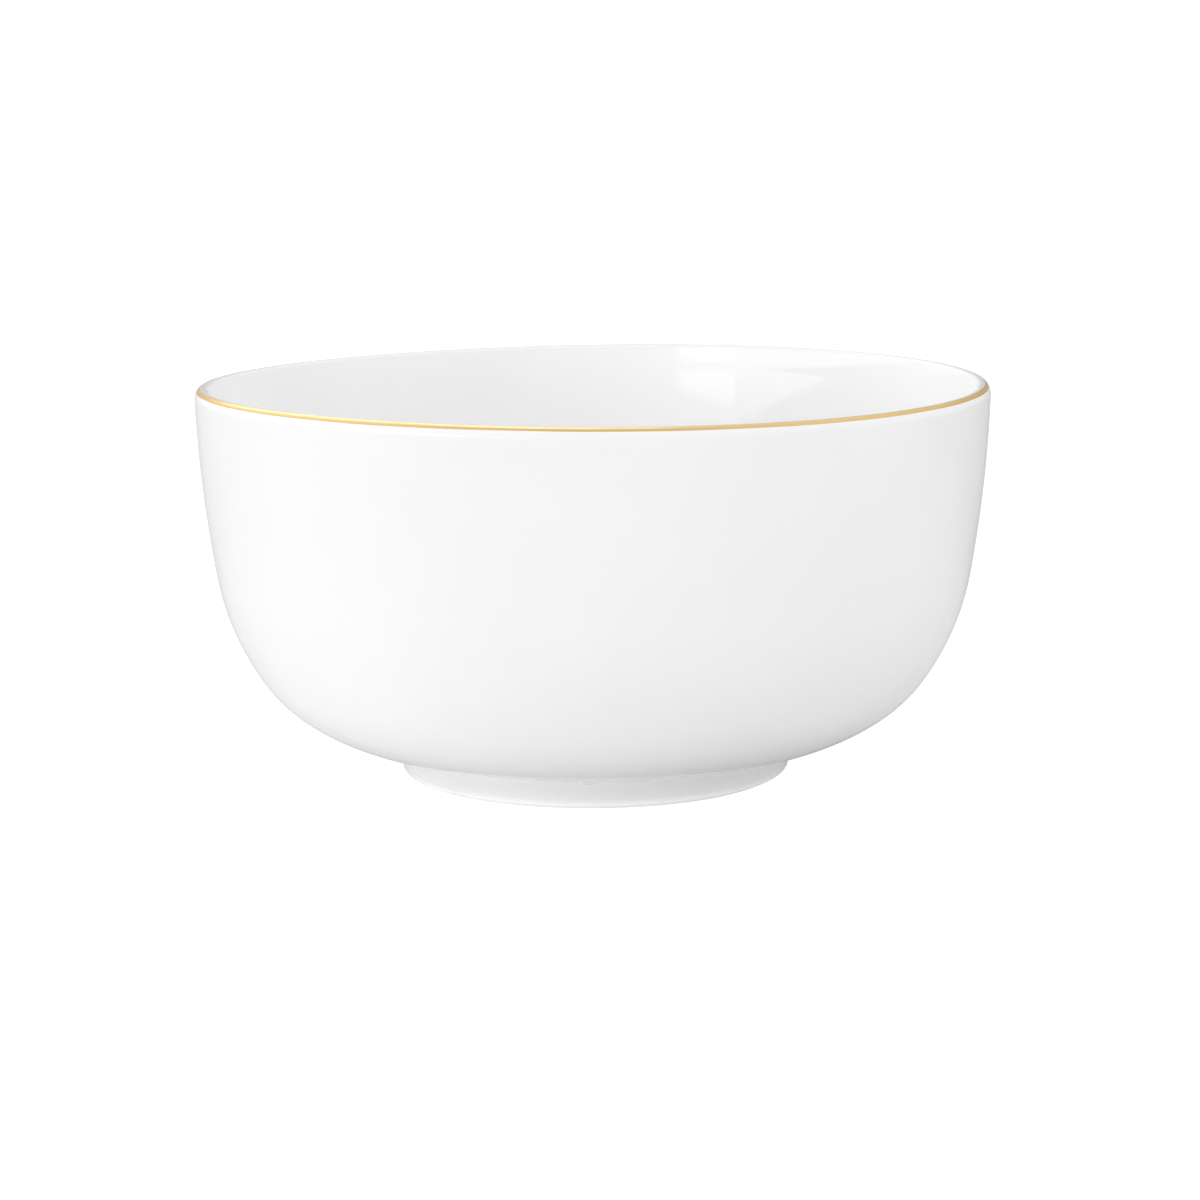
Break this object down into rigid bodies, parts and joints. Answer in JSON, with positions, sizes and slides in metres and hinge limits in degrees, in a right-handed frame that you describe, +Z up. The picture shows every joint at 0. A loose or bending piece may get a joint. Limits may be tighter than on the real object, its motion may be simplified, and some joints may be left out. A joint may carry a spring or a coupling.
{
  "type": "serving bowl",
  "caption": "Deep round white porcelain serving bowl with a rounded lip, a gold rim line and a low foot ring with a bare standing edge.",
  "frame": {"origin": "middle of the foot, level with the surface the bowl stands on", "axes": "+Z up along the bowl's axis of turning; X and Y lie along the table"},
  "size_m": [0.2, 0.2, 0.1],
  "materials": {
    "body_glaze": "clear glossy glaze over hard white porcelain",
    "foot_glaze": "clear glossy glaze over hard white porcelain",
    "bare_porcelain": "unglazed, ground flat and polished, matte",
    "bright_gold": "bright fired gold, smooth and mirror-like"
  },
  "bodies": {
    "root": {"bowl_body": "body_glaze", "foot_ring": "foot_glaze", "bare_foot_edge": "bare_porcelain", "gold_rim_line": "bright_gold"}
  },
  "joints": []
}
